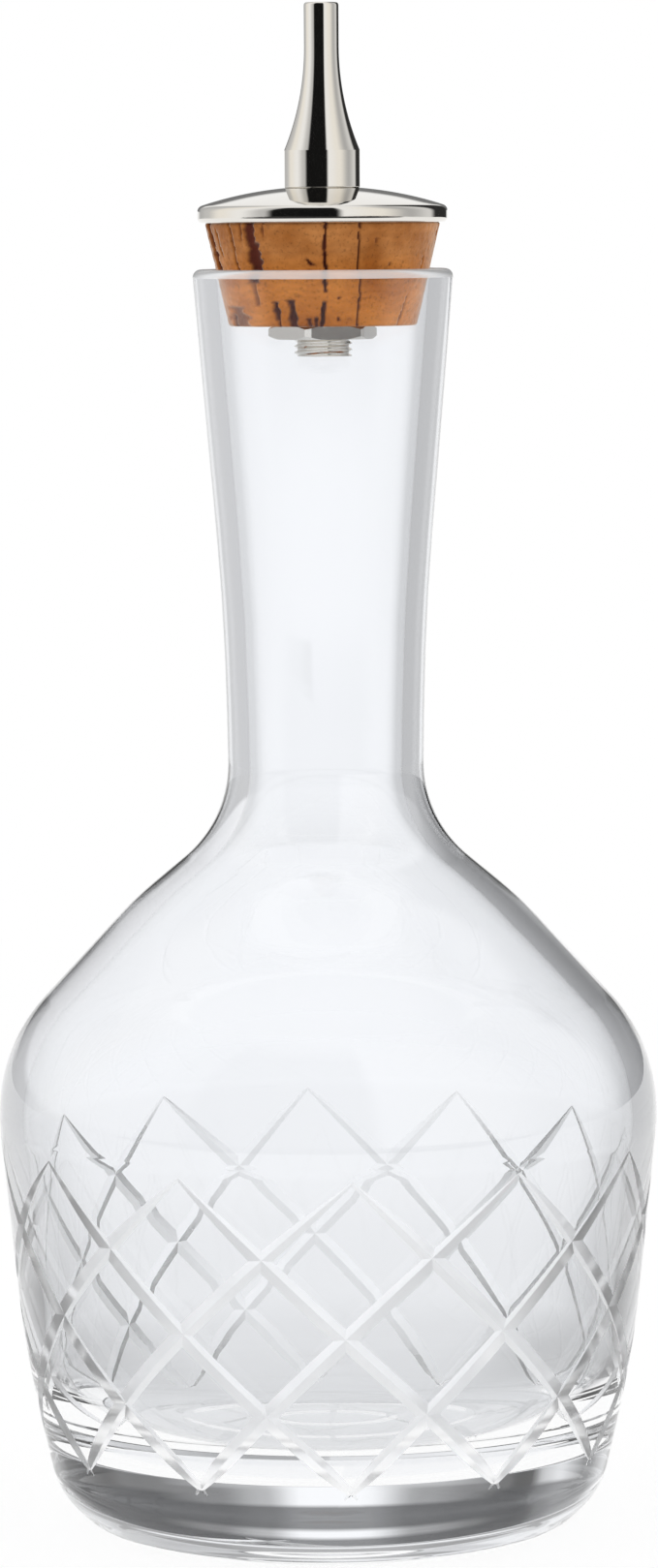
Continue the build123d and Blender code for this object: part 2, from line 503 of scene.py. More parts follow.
band_verts = {v for v in bottle.verts if v in poke_centres}
for face in bottle.faces:
    if any(v in poke_centres for v in face.verts):
        band_verts.update(face.verts)
lines = {}
for v in band_verts:
    column = (atan2(v.co.x, -v.co.y) * 180 / pi - band_phase_degrees) / step_degrees
    row = (band_top - v.co.z / mm) / row_height
    lines[v] = (round(column - row), round(column + row))
for v, (falling, rising) in lines.items():
    row = (rising - falling) / 2
    along = row / band_rows
    wall_radius = radius_at(row)
    across = wall_radius * radians(step_degrees)
    line_gap = across * row_height / hypot(across, row_height)
    size = swell(along)
    edge_line = (groove_tip_half_width + (groove_half_width - groove_tip_half_width) * size) / line_gap
    new_falling = draw_in(falling, edge_line)
    new_rising = draw_in(rising, edge_line)
    new_row = (new_rising - new_falling) / 2
    column = (new_rising + new_falling) / 2
    on_bed = falling % lines_per_cut == 0 or rising % lines_per_cut == 0
    radius = radius_at(new_row) - (groove_depth * size if on_bed else 0)
    drift = band_drift_degrees * sin(pi * min(1, max(0, new_row / band_rows)))
    turn = radians(column * step_degrees + band_phase_degrees + drift)
    v.co = (radius * sin(turn) * mm, -radius * cos(turn) * mm, (band_top - new_row * row_height) * mm)

# %% [markdown]
# Where two grooves cross, four creases run from the crossing's lowest point to the corners of the
# ground around it. Splitting those four faces along the creases gives the little pyramid cut that a
# cutter gets.

# %% Crease the crossings
def line_offset(number):
    """How many lines a line lies from the nearest groove's bed."""
    return abs(number - round(number / lines_per_cut) * lines_per_cut)


def has_offsets(v, offset):
    """Whether a vertex lies that many lines from the nearest bed of both sets."""
    return v in lines and all(line_offset(number) == offset for number in lines[v])


crossings = [v for v in lines if has_offsets(v, 0)]
for crossing in crossings:
    for face in crossing.link_faces[:]:
        far = [v for v in face.verts if has_offsets(v, 1)]
        if far and len(face.verts) == 4:
            bmesh.utils.face_split(face, crossing, far[0])

# %% [markdown]
# The bottle shows three finishes, each on its own faces: clear glass, the satin beds of the cuts, and
# the lip, which is ground and so a little frosted. The bottom line of each bed stays a sharp edge.

# %% Give the faces their finish
frost_reach_down = 1.05
frost_reach_in = 0.4
groove_faces = 0
for face in bottle.faces:
    if not all(v in lines for v in face.verts):
        continue
    rows = [(lines[v][1] - lines[v][0]) / 2 for v in face.verts]
    if not 0 <= sum(rows) / len(rows) <= cut_end_share * band_rows:
        continue
    for side in (0, 1):
        offsets = [line_offset(lines[v][side]) for v in face.verts]
        if max(offsets) == 1 and min(offsets) == 0:
            face.material_index = 1
    groove_faces += face.material_index
lip_low = glass_height - frost_reach_down * outer_lip_rounding
lip_inner = mouth[0] + frost_reach_in * inner_lip_rounding
for face in bottle.faces:
    middle = face.calc_center_median()
    if middle.z / mm > lip_low and middle.xy.length / mm > lip_inner:
        face.material_index = 2
for edge in bottle.edges:
    if not all(v in lines for v in edge.verts):
        continue
    for side in (0, 1):
        if all(line_offset(lines[v][side]) == 0 for v in edge.verts):
            edge.smooth = False
print("crossings", len(crossings), "groove faces", groove_faces)
bmesh.ops.recalc_face_normals(bottle, faces=bottle.faces)
glass_piece = finish_piece(
    bottle, "cut_glass_bottle", "bottle", ["glass_bottle"], [clear_glass, cut_glass, lip_glass],
    sharp_degrees=12,
)

# %% [markdown]
# ## The metal fitting
# Turned and polished, then nickel plated: a mirror with a slightly warm tint. Fine scratches and a
# little unevenness in the polish keep it from looking like chrome paint.

# %% Polished metal
polished_metal, metal_shader = new_material(
    "polished_metal", Base_Color=(0.80, 0.775, 0.73, 1), Metallic=1.0, Roughness=0.06,
)
metal_place = add_node(polished_metal, "ShaderNodeTexCoord").outputs["Object"]
metal_scratches = add_node(polished_metal, "ShaderNodeTexNoise", Scale=900, Detail=3)
metal_ripple = add_node(polished_metal, "ShaderNodeTexNoise", Scale=260, Detail=1)
for texture in (metal_scratches, metal_ripple):
    link(polished_metal, metal_place, texture.inputs["Vector"])
metal_rough = fade(polished_metal, metal_scratches.outputs["Fac"], 0.0, 1.0, low=0.02, high=0.09)
link(polished_metal, metal_rough, metal_shader.inputs["Roughness"])
add_bump(polished_metal, metal_shader, metal_ripple.outputs["Fac"], Strength=0.25, Distance=0.04 * mm)

# %% [markdown]
# The cap is a disc with a flat underside, a rounded edge and a low dome. Its dome is one arc, from the
# edge up to the flat land that carries the collar, because a polished dome shows every kink as a line
# in its reflections.

# %% Dome cap
cap_low, cap_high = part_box("dome_cap")
cap_bottom, cap_top = cap_low.z / mm, cap_high.z / mm
cap_radius = cap_high.x / mm
cap_edge_height = 1.65
cap_edge_top = cap_bottom + cap_edge_height
cap_dome_radius = 38.4
stem_hole_radius = 3.05
cap_land_radius = 3.9
cap_edge_rounding = 0.5

dome_edge = Vector((cap_radius, cap_edge_top))
dome_land = Vector((cap_land_radius, cap_top))
dome_chord = dome_land - dome_edge
dome_turn = 2 * asin(dome_chord.length / 2 / cap_dome_radius)
dome_inward = Vector((-dome_chord.y, dome_chord.x)).normalized()
dome_centre = (dome_edge + dome_land) / 2 + dome_inward * cap_dome_radius * cos(dome_turn / 2)
first_share = 0.12
DOME_STEPS = 12
dome_start = dome_centre + Matrix.Rotation(first_share * dome_turn, 2) @ (dome_edge - dome_centre)

cap = bmesh.new()
cap_end = draw_section(
    cap,
    [
        (stem_hole_radius, cap_top), (stem_hole_radius, cap_bottom), (cap_radius, cap_bottom),
        dome_edge, dome_start,
    ],
    [0, 0, cap_edge_rounding, cap_edge_rounding, 0], arc_step=10,
)
cap_end = draw_arc(cap, cap_end, dome_centre, (1 - first_share) * dome_turn, DOME_STEPS)
draw_run(cap, cap_end, (stem_hole_radius, cap_top))
bmesh.ops.remove_doubles(cap, verts=cap.verts, dist=MERGE_DISTANCE)
turn_on_lathe(cap, METAL_STEPS)
cap_piece = finish_piece(
    cap, "polished_dome_cap", "dasher", ["dome_cap"], [polished_metal], sharp_degrees=30,
)

# %% [markdown]
# The spout is turned from bar: a collar, a hollow-sided cone and a slim tip, with a bore right through.
# The cone's side is an arc that leaves the tip without a kink and meets the collar at a crisp edge.

# %% Dasher spout
spout_low, spout_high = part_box("dasher_spout")
spout_bottom, spout_top = spout_low.z / mm, spout_high.z / mm
collar_radius = spout_high.x / mm
collar_height = 3.86
collar_top = spout_bottom + collar_height
cone_height = 10.64
cone_top = collar_top + cone_height
tip_radius = 1.78
stem_reach_into_spout = 2.9
stem_top = spout_bottom + stem_reach_into_spout
stem_bore_radius = 1.6
spout_bore_radius = 1.15
bore_rounding = 0.12
tip_rounding = 0.3
collar_rounding = 0.15
arc_end_gap = 0.001
CONE_STEPS = 16
cone_flare = collar_radius - tip_radius
cone_arc_radius = (cone_height ** 2 + cone_flare ** 2) / (2 * cone_flare)
cone_turn = 2 * atan2(cone_flare, cone_height)

spout = bmesh.new()
tip_end = draw_section(
    spout,
    [
        (stem_hole_radius, spout_bottom), (stem_hole_radius, stem_top), (stem_bore_radius, stem_top),
        (spout_bore_radius, spout_top), (tip_radius, spout_top), (tip_radius, cone_top),
    ],
    [0, 0, 0, bore_rounding, tip_rounding, 0], arc_step=15,
)
cone_end = draw_arc(spout, tip_end, (tip_radius + cone_arc_radius, cone_top), cone_turn, CONE_STEPS)
draw_section(
    spout,
    [
        (collar_radius, collar_top - arc_end_gap), (collar_radius, spout_bottom),
        (stem_hole_radius, spout_bottom),
    ],
    [0, collar_rounding, 0], last=cone_end, arc_step=20,
)
turn_on_lathe(spout, METAL_STEPS)
spout_piece = finish_piece(
    spout, "polished_dasher_spout", "dasher", ["dasher_spout"], [polished_metal], sharp_degrees=18,
)

# %% [markdown]
# A screw thread is a lathe turn that climbs: the wire of its section moves up by one pitch while it
# goes round once, so its end meets the next ridge of its start. The ragged ends are then sawn off flat.

# %% Threaded stem
THREAD_STEPS = 64
SPARE_RIDGES = 3
stem_low, stem_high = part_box("threaded_stem")
stem_radius = stem_high.x / mm
thread_pitch = 0.65
thread_depth = 0.32
ridge_shape = [(0.0, 0), (0.08, 0), (0.30, thread_depth), (0.40, thread_depth)]
seam_tolerance = 0.001 * mm

stem = bmesh.new()
ridges = int((stem_high.z - stem_low.z) / mm / thread_pitch) + SPARE_RIDGES
wire_end = None
for ridge in range(ridges):
    for climb, dip in ridge_shape:
        height = stem_low.z / mm + (ridge - 1) * thread_pitch + climb
        wire_end = draw_run(stem, wire_end, (stem_radius - dip, height))
bmesh.ops.spin(
    stem, geom=stem.verts[:] + stem.edges[:], cent=(0, 0, 0), axis=(0, 0, 1), angle=2 * pi,
    dvec=(0, 0, thread_pitch * mm / THREAD_STEPS), steps=THREAD_STEPS, use_merge=False,
)
bmesh.ops.remove_doubles(stem, verts=stem.verts, dist=seam_tolerance)
for level, way in ((stem_low.z, -1), (stem_high.z, 1)):
    bmesh.ops.bisect_plane(
        stem, geom=stem.verts[:] + stem.edges[:] + stem.faces[:], dist=MERGE_DISTANCE,
        plane_co=(0, 0, level), plane_no=(0, 0, way), clear_outer=True,
    )
bore_start = bmesh.ops.create_circle(
    stem, segments=THREAD_STEPS, radius=stem_bore_radius * mm,
    matrix=Matrix.Translation((0, 0, stem_low.z)),
)
bore_edges = list({e for v in bore_start["verts"] for e in v.link_edges})
bore = bmesh.ops.extrude_edge_only(stem, edges=bore_edges)
bore_end = [v for v in bore["geom"] if isinstance(v, bmesh.types.BMVert)]
bmesh.ops.translate(stem, verts=bore_end, vec=(0, 0, stem_high.z - stem_low.z))
for level in (stem_low.z, stem_high.z):
    end_edges = [
        e for e in stem.edges
        if e.is_boundary and all(abs(v.co.z - level) < seam_tolerance for v in e.verts)
    ]
    bmesh.ops.bridge_loops(stem, edges=end_edges)
bmesh.ops.recalc_face_normals(stem, faces=stem.faces)
print("open edges on the stem", sum(e.is_boundary for e in stem.edges))
print("stem volume", round(stem.calc_volume(signed=True) / mm ** 3, 1), "cubic mm")
stem_piece = finish_piece(
    stem, "polished_threaded_stem", "dasher", ["threaded_stem"], [polished_metal], sharp_degrees=20,
)

# %% [markdown]
# A nut is a hexagon whose corners are turned off by a cone, which leaves a round washer face and a
# curved edge on each flat. A ring of vertices is pushed out to the hexagon, and the rings at both faces
# stay inside the cone.

# %% Hexagon nut
nut_low, nut_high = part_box("hex_nut")
nut_flat_half = 5.0
nut_turn_degrees = 12.5
nut_face_radius = 5.12
nut_cone_slope = tan(radians(30))
nut_least_chamfer = 0.02
hole_edge_radius = 1.01 * stem_hole_radius
NUT_STEPS = 96


def nut_reach(angle):
    """How far out the hexagon's edge is in a direction."""
    from_flat = (angle - radians(nut_turn_degrees)) % radians(60) - radians(30)
    return nut_flat_half / cos(from_flat)


nut = bmesh.new()
for low_side in (True, False):
    level = nut_low.z if low_side else nut_high.z
    inward = 1 if low_side else -1
    rings = []
    for kind in ("hole", "face", "flat"):
        ring_made = bmesh.ops.create_circle(
            nut, segments=NUT_STEPS, radius=stem_hole_radius * mm,
            matrix=Matrix.Translation((0, 0, level)),
        )
        for v in ring_made["verts"]:
            angle = atan2(v.co.y, v.co.x)
            reach = nut_reach(angle)
            if kind == "face":
                v.co.xy = v.co.xy.normalized() * min(reach, nut_face_radius) * mm
            elif kind == "flat":
                v.co.xy = v.co.xy.normalized() * reach * mm
                v.co.z += inward * max(nut_least_chamfer, (reach - nut_face_radius) * nut_cone_slope) * mm
        rings.append(list({e for v in ring_made["verts"] for e in v.link_edges}))
    bmesh.ops.bridge_loops(nut, edges=rings[0] + rings[1])
    bmesh.ops.bridge_loops(nut, edges=[e for e in rings[1] + rings[2] if len(e.link_faces) < 2])
for inner in (True, False):
    open_edges = [
        e for e in nut.edges
        if e.is_boundary and (e.verts[0].co.xy.length < hole_edge_radius * mm) == inner
    ]
    bmesh.ops.bridge_loops(nut, edges=open_edges)
bmesh.ops.recalc_face_normals(nut, faces=nut.faces)
print("open edges on the nut", sum(e.is_boundary for e in nut.edges))
nut_piece = finish_piece(
    nut, "polished_hex_nut", "dasher", ["hex_nut"], [polished_metal], sharp_degrees=20,
)

# %% [markdown]
# ## The cork
# Natural cork is cut from bark, so it carries dark pores and cracks that run down its side.

# %% Cork shape
CORK_STEPS = 480
CORK_ROWS = 72
cork_low, cork_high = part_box("cork_stopper")
cork_bottom, cork_top = cork_low.z / mm, cork_high.z / mm
cork_top_radius = cork_high.x / mm
cork_taper = 0.234
cork_bottom_radius = cork_top_radius - cork_taper * (cork_top - cork_bottom)
cork_edge_rounding = 0.25
least_side_length = 5
least_side_radius = 8

cork = bmesh.new()
draw_section(
    cork,
    [
        (stem_hole_radius, cork_bottom), (cork_bottom_radius, cork_bottom), (cork_top_radius, cork_top),
        (stem_hole_radius, cork_top), (stem_hole_radius, cork_bottom),
    ],
    [0, cork_edge_rounding, cork_edge_rounding, 0, 0], arc_step=15,
)
cork_side = [
    edge for edge in cork.edges
    if edge.calc_length() > least_side_length * mm
    and min(v.co.x for v in edge.verts) > least_side_radius * mm
]
bmesh.ops.subdivide_edges(cork, edges=cork_side, cuts=CORK_ROWS)
turn_on_lathe(cork, CORK_STEPS)
print("cork radius", round(cork_bottom_radius, 2), "to", round(cork_top_radius, 2), "mm")

# %% [markdown]
# Cracks and pores are pressed into the side as real hollows. Six numbers describe each: its direction
# round the cork in degrees, the heights of its upper and lower end, half its width and its depth in mm,
# and how many degrees it leans. The front ones follow the photograph, and those on the back are drawn
# at random.

# %% Cracks and pores
cork_cracks = [
    (-78.0, 137.2, 130.0, 0.95, 0.60, 6.0), (-66.0, 135.0, 132.0, 0.16, 0.30, 2.0),
    (-52.8, 137.0, 130.0, 0.20, 0.40, 1.5), (-44.0, 136.6, 133.6, 0.18, 0.30, -1.0),
    (-38.8, 137.0, 133.1, 0.95, 0.55, 0.0), (-37.9, 133.6, 129.4, 1.05, 0.60, 0.6),
    (-37.4, 130.4, 127.0, 0.40, 0.22, 0.5), (-31.0, 136.6, 134.0, 0.14, 0.25, 0.5),
    (2.6, 137.0, 132.4, 0.22, 0.50, -1.6), (0.8, 132.9, 128.4, 0.26, 0.55, 1.0),
    (18.2, 137.0, 122.0, 0.13, 0.40, 2.2), (-8.2, 131.8, 131.1, 0.42, 0.40, 3.0),
    (-55.0, 127.1, 124.9, 1.90, 0.28, 1.0), (-60.5, 126.3, 124.9, 0.35, 0.45, 0.0),
    (-26.2, 127.6, 125.6, 0.44, 0.50, 1.0), (-25.0, 126.4, 124.9, 0.14, 0.40, 0.0),
    (-17.5, 127.8, 124.9, 0.62, 0.55, 0.8), (0.9, 127.6, 124.9, 0.34, 0.55, -2.0),
    (-3.6, 126.0, 124.8, 0.30, 0.40, -1.0), (-8.0, 125.9, 124.8, 0.32, 0.35, 1.5),
    (8.5, 128.1, 127.7, 0.20, 0.30, 0.0), (8.3, 126.0, 125.6, 0.22, 0.30, 0.0),
    (50.5, 128.3, 124.8, 0.14, 0.35, -3.5), (66.0, 132.0, 130.2, 0.16, 0.35, 0.0),
    (38.0, 131.4, 131.0, 0.18, 0.22, 0.0), (28.0, 133.9, 133.4, 0.16, 0.22, 0.0),
]
CRACKS_BEHIND = 46
random.seed(23)
for _ in range(CRACKS_BEHIND):
    crack_top = random.uniform(126.2, 137.0)
    crack_length = random.choice((0.5, 0.8, 1.4, 2.6, 4.5, 8.0)) * random.uniform(0.8, 1.3)
    cork_cracks.append((
        random.uniform(78, 282), crack_top, max(122.0, crack_top - crack_length),
        random.uniform(0.10, 0.42), random.uniform(0.25, 0.6), random.uniform(-3, 3),
    ))

# %% [markdown]
# A crack wanders and swells a little on its way down, and its hollow is rounded. How deep each vertex
# went is kept as an attribute, so that the material can darken the hollows. A fine grain roughens the
# whole side.

# %% Press the cracks into the side
crack_reach_degrees = 12
wander_width, wander_rate = 0.22, 0.8
mean_swelling, swelling_change, swelling_rate = 0.75, 0.55, 1.6
least_swelling = 0.3
end_sharpness = 8
grain_depth, mean_grain_depth = 0.035, 0.04
coarse_grain_rate, fine_grain_rate, fine_grain_share = 1.9, 4.3, 0.6
darkest_from_depth = 0.35
side_margin = 0.3


def crack_depth(crack, azimuth, height, radius):
    """How deep a crack is at a point of the cork's side, in mm."""
    at, top, bottom, half_width, depth, lean = crack
    along = (top - height) / (top - bottom)
    if not 0 < along < 1:
        return 0
    off = (azimuth - at - lean * along + 180) % 360 - 180
    if abs(off) > crack_reach_degrees:
        return 0
    wander = wander_width * noise.noise(Vector((at, height * wander_rate, 0)))
    swelling = mean_swelling + swelling_change * noise.noise(Vector((at, height * swelling_rate, 7)))
    across = (radians(off) * radius - wander) / (half_width * max(least_swelling, swelling))
    ends = min(1, end_sharpness * along, end_sharpness * (1 - along)) ** 0.5
    return depth * ends * max(0, 1 - across * across) ** 0.6


pit = cork.verts.layers.float.new("pit")
sunk = 0
for v in cork.verts:
    radius = hypot(v.co.x, v.co.y) / mm
    height = v.co.z / mm
    side_radius = cork_bottom_radius + cork_taper * (height - cork_bottom)
    if radius < side_radius - side_margin:
        continue
    azimuth = atan2(v.co.x, -v.co.y) * 180 / pi
    depth = max(crack_depth(crack, azimuth, height, radius) for crack in cork_cracks)
    coarse = noise.noise(v.co / mm * coarse_grain_rate)
    fine = noise.noise(v.co / mm * fine_grain_rate)
    sink = depth + mean_grain_depth + grain_depth * (coarse + fine_grain_share * fine)
    v[pit] = min(1, depth / darkest_from_depth)
    v.co.xy *= (radius - max(0, sink)) / radius
    sunk += depth > 0
print("vertices in cracks", sunk)

# %% [markdown]
# The bark's colour changes over a few millimetres, its growth lines run as fine waves, and tiny pores
# speckle it. The part that stands in the neck is painted brighter and more orange: painted light for the
# light that the neck's glass holds back.

# %% Natural cork
natural_cork, cork_shader = new_material(
    "natural_cork", Roughness=0.85, Specular_IOR_Level=0.12, Sheen_Weight=0.85, Sheen_Roughness=0.35,
    Sheen_Tint=(1.0, 0.93, 0.82, 1),
)
cork_place = add_node(natural_cork, "ShaderNodeTexCoord").outputs["Object"]
cork_clouds = add_node(natural_cork, "ShaderNodeTexNoise", Scale=240, Detail=4)
cork_waves = add_node(
    natural_cork, "ShaderNodeTexWave", {"wave_type": "BANDS", "bands_direction": "Z"},
    Scale=330, Distortion=9.0, Detail=3.0, Detail_Scale=1.1,
)
cork_speckle = add_node(natural_cork, "ShaderNodeTexNoise", Scale=3600, Detail=2)
cork_split = add_node(natural_cork, "ShaderNodeSeparateXYZ")
for texture in (cork_clouds, cork_waves, cork_speckle, cork_split):
    link(natural_cork, cork_place, texture.inputs["Vector"])

cork_tones = [(0.32, (0.27, 0.088, 0.016)), (0.68, (0.45, 0.185, 0.055))]
cork_colour = shade_along(natural_cork, cork_clouds.outputs["Fac"], cork_tones, "LINEAR")
wave_shade = fade(natural_cork, cork_waves.outputs["Fac"], 0.0, 1.0, low=0.93, high=1.03)
speckle_shade = fade(natural_cork, cork_speckle.outputs["Fac"], 0.28, 0.44, low=0.66)
for shade in (wave_shade, speckle_shade):
    cork_colour = colour_mix(natural_cork, 1.0, cork_colour, shade, "MULTIPLY")
# Painted light: the cork inside the neck is painted brighter and more orange, for light that the glass holds
# back.
cork_painted_light = colour_mix(natural_cork, 1.0, cork_colour, (1.50, 1.30, 0.72, 1), "MULTIPLY")
cork_painted_light_share = fade(natural_cork, cork_split.outputs["Z"], 132.5 * mm, 129.5 * mm)
cork_colour = colour_mix(natural_cork, cork_painted_light_share, cork_colour, cork_painted_light)
cork_pit = add_node(natural_cork, "ShaderNodeAttribute", {"attribute_name": "pit"})
cork_colour = colour_mix(natural_cork, cork_pit.outputs["Fac"], cork_colour, (0.085, 0.018, 0.010, 1))
link(natural_cork, cork_colour, cork_shader.inputs["Base Color"])
add_bump(natural_cork, cork_shader, cork_speckle.outputs["Fac"], Strength=0.5, Distance=0.06 * mm)
cork_piece = finish_piece(
    cork, "tapered_cork", "cork", ["cork_stopper"], [natural_cork], sharp_degrees=60,
)

# %% [markdown]
# ## The studio
# The bottle stands on a white sweep. Glass and metal show their surroundings more than any lamp, so the
# world is white behind the bottle and darker on the camera's side. The surroundings are written as
# rings of stops: a shade for each direction, which goes from behind the bottle round its left, past the
# camera and round its right. Metal mirrors the first ring, and clear glass bends the cooler ones into view.

# %% The rings of surroundings
def ring_of_surroundings(owner, direction, stops):
    """A colour by compass direction, which goes once round the bottle from behind it."""
    split = add_node(owner, "ShaderNodeSeparateXYZ")
    link(owner, direction, split.inputs[0])
    towards_camera = math_node(owner, "MULTIPLY", split.outputs["Y"], -1.0)
    around = math_node(owner, "ARCTAN2", split.outputs["X"], towards_camera)
    share = math_node(owner, "MULTIPLY_ADD", around, 1 / (2 * pi), 0.5)
    return shade_along(owner, share, stops)


def cool_greys(stops):
    """Gives each grey the trace of blue that clear glass has."""
    return [(at, (0.965 * shade, 0.975 * shade, shade)) for at, shade in stops]


warm = (0.97, 0.94, 0.88)
metal_stops = [
    (0.000, 1.0), (0.045, 0.95), (0.075, 0.50), (0.130, 0.62), (0.200, warm), (0.270, 1.0), (0.345, 0.60),
    (0.372, 0.008), (0.535, 0.008), (0.558, 1.0), (0.650, warm), (0.745, 0.50), (0.825, 0.75), (0.856, 0.03),
    (0.940, 0.03), (0.965, 1.0), (1.000, 1.0),
]
low_stops = cool_greys([
    (0.000, 1.0), (0.035, 1.0), (0.080, 0.70), (0.220, 0.64), (0.300, 0.82), (0.420, 1.0), (0.600, 1.0),
    (0.700, 0.82), (0.780, 0.60), (0.858, 0.50), (0.872, 0.34), (0.886, 0.50), (0.925, 0.62), (0.965, 1.0),
    (1.000, 1.0),
])
solid_low_stops = cool_greys([
    (0.000, 1.0), (0.010, 1.0), (0.028, 0.60), (0.450, 0.60), (0.550, 0.53), (0.972, 0.50), (0.990, 1.0),
    (1.000, 1.0),
])
solid_high_stops = cool_greys([
    (0.000, 1.0), (0.012, 1.0), (0.035, 0.32), (0.060, 0.19), (0.078, 0.10), (0.084, 0.03), (0.093, 0.03),
    (0.105, 0.58), (0.122, 1.00), (0.200, 1.00), (0.250, 1.0), (0.640, 1.0), (0.710, 0.88), (0.770, 0.52),
    (0.815, 0.28), (0.834, 0.04), (0.885, 0.03), (0.905, 0.12), (0.955, 0.20), (0.975, 0.45), (0.990, 1.0),
    (1.000, 1.0),
])
edge_stops = cool_greys([
    (0.000, 0.75), (0.040, 0.80), (0.090, 0.90), (0.250, 0.95), (0.500, 1.0), (0.700, 0.85), (0.800, 0.72),
    (0.880, 0.58), (0.960, 0.38), (0.990, 0.40), (1.000, 0.60),
])

# %% [markdown]
# The sweep is one large sheet. Matt surfaces find a white board on it, which the lamps light. The
# camera, the metal and the glass see it glow an even white, a little less bright near the bottle.

# %% Floor
floor_half = 2.5
white_sweep, sweep_shader = new_material("white_sweep", Base_Color=(0.9, 0.9, 0.9, 1), Roughness=0.9)
sheet = bmesh.new()
bmesh.ops.create_grid(sheet, x_segments=1, y_segments=1, size=floor_half)
floor = mesh_object(sheet, "studio_floor", [white_sweep])

sweep_rays = add_node(white_sweep, "ShaderNodeLightPath").outputs
sweep_place = add_node(white_sweep, "ShaderNodeTexCoord").outputs["Object"]
sweep_split = add_node(white_sweep, "ShaderNodeSeparateXYZ")
sweep_length = add_node(white_sweep, "ShaderNodeVectorMath", {"operation": "LENGTH"})
for reader in (sweep_split, sweep_length):
    link(white_sweep, sweep_place, reader.inputs[0])
sweep_reach = sweep_length.outputs["Value"]

sweep_seen = math_node(white_sweep, "MAXIMUM", sweep_rays["Is Camera Ray"], sweep_rays["Is Glossy Ray"])
sweep_seen = math_node(white_sweep, "MAXIMUM", sweep_seen, sweep_rays["Is Transmission Ray"])
sweep_share = product(white_sweep, sweep_seen, fade(white_sweep, sweep_reach, 0.05, 0.5, low=0.86))
sweep_glow = add_node(white_sweep, "ShaderNodeEmission", Strength=1.0)
show_mix(white_sweep, sweep_share, sweep_shader, sweep_glow)

# %% [markdown]
# Seen through the glass, the sweep is a little greyer at the sides, and near the bottle it carries a painted
# shadow. A light path keeps count of the surfaces it went through. A ray that has gone through at most two,
# and then finds the sweep, came through solid glass, as in the base, and it meets a dark ring round the
# foot. Light that goes on up to a matt surface, such as the cork, comes from a plain white sweep.

# %% The sweep seen through the glass
SOLID_GLASS_COUNT = 2.5
NEVER = 0.5
PLAIN_WHITE = (1, 1, 1, 1)
# These stops paint a shadow on the sweep near the bottle, for rays that come through the glass.
near_painted_shadow_stops = [(0.00, 0.72), (0.10, 0.75), (0.30, 0.86), (0.50, 0.95), (1.00, 1.0)]
foot_stops = [(0.00, 1.0), (0.07, 1.0), (0.12, 0.30), (0.225, 0.30), (0.30, 1.0), (1.00, 1.0)]
sweep_near = fade(white_sweep, sweep_reach, 0.0, 0.5)
sweep_beyond = fade(white_sweep, sweep_reach, 0.03, 0.06)


def sweep_through_glass(ring_stops, distance_stops):
    """The sweep's colour by direction, plain under the bottle itself, and multiplied by a shade that follows
    the distance from it, such as the painted shadow near the bottle.
    """
    ring = ring_of_surroundings(white_sweep, sweep_place, ring_stops)
    ring = colour_mix(white_sweep, sweep_beyond, (0.88, 0.89, 0.91, 1), ring)
    shade = shade_along(white_sweep, sweep_near, distance_stops)
    return colour_mix(white_sweep, 1.0, ring, shade, "MULTIPLY")


sweep_thin = sweep_through_glass(low_stops, near_painted_shadow_stops)
sweep_thick = sweep_through_glass(solid_low_stops, foot_stops)
sweep_solid = math_node(white_sweep, "LESS_THAN", sweep_rays["Transmission Depth"], SOLID_GLASS_COUNT)
sweep_bent = colour_mix(white_sweep, sweep_solid, sweep_thin, sweep_thick)
sweep_colour = colour_mix(white_sweep, sweep_rays["Is Transmission Ray"], PLAIN_WHITE, sweep_bent)
sweep_to_matt = math_node(white_sweep, "GREATER_THAN", sweep_rays["Diffuse Depth"], NEVER)
sweep_colour = colour_mix(white_sweep, sweep_to_matt, sweep_colour, PLAIN_WHITE)

# %% [markdown]
# On the camera's side a dark cloth lies across the sweep's far end. The glass in front of the cork
# mirrors it, so that the cork keeps its colour. Neither the camera nor the glass that bends light sees
# it.

# %% A dark cloth on the sweep
cloth = product(
    white_sweep,
    fade(white_sweep, sweep_reach, 0.52, 0.66, smooth=True),
    fade(white_sweep, sweep_split.outputs["Y"], -0.30, -0.56, smooth=True),
    rest_of(white_sweep, sweep_rays["Is Camera Ray"]),
    rest_of(white_sweep, sweep_rays["Is Transmission Ray"]),
)
sweep_colour = colour_mix(white_sweep, cloth, sweep_colour, (0.05, 0.05, 0.05, 1))
link(white_sweep, sweep_colour, sweep_glow.inputs["Color"])

# %% [markdown]
# The world answers each kind of ray for itself. The metal mirrors its ring of light and dark. Low
# behind the bottle a dark gap shows under the white backdrop, which draws the dome's outline, and high
# up the ring gives way to a plain white ceiling. The fades run over the three parts of a ray's
# direction: to the side, away from the camera, and up.

# %% What the metal mirrors
world = bpy.data.worlds.new("studio")
bpy.context.scene.world = world
world.use_nodes = True
world_rays = add_node(world, "ShaderNodeLightPath").outputs
direction = add_node(world, "ShaderNodeTexCoord").outputs["Generated"]
direction_split = add_node(world, "ShaderNodeSeparateXYZ")
link(world, direction, direction_split.inputs[0])
side, away, upward = (direction_split.outputs[axis] for axis in "XYZ")

gap = product(
    world,
    fade(world, upward, 0.012, 0.030),
    fade(world, upward, 0.31, 0.25),
    fade(world, away, 0.88, 0.95, high=0.85),
)
metal_ring = ring_of_surroundings(world, direction, metal_stops)
metal_view = colour_mix(world, gap, metal_ring, (0.05, 0.05, 0.05, 1))
ceiling = fade(world, upward, 0.84, 0.96)
metal_view = colour_mix(world, ceiling, metal_view, (0.97, 0.97, 0.97, 1))

# %% [markdown]
# Thin glass bends soft greys into view at the sides. The sides that solid glass finds, as in the base,
# are dark above the horizon. A ray that was mirrored inside the wall on its way came through the wall's
# edge, which shows lighter. Higher up behind the bottle the base finds nearly black, with one bright
# window straight behind that lights the base's middle.

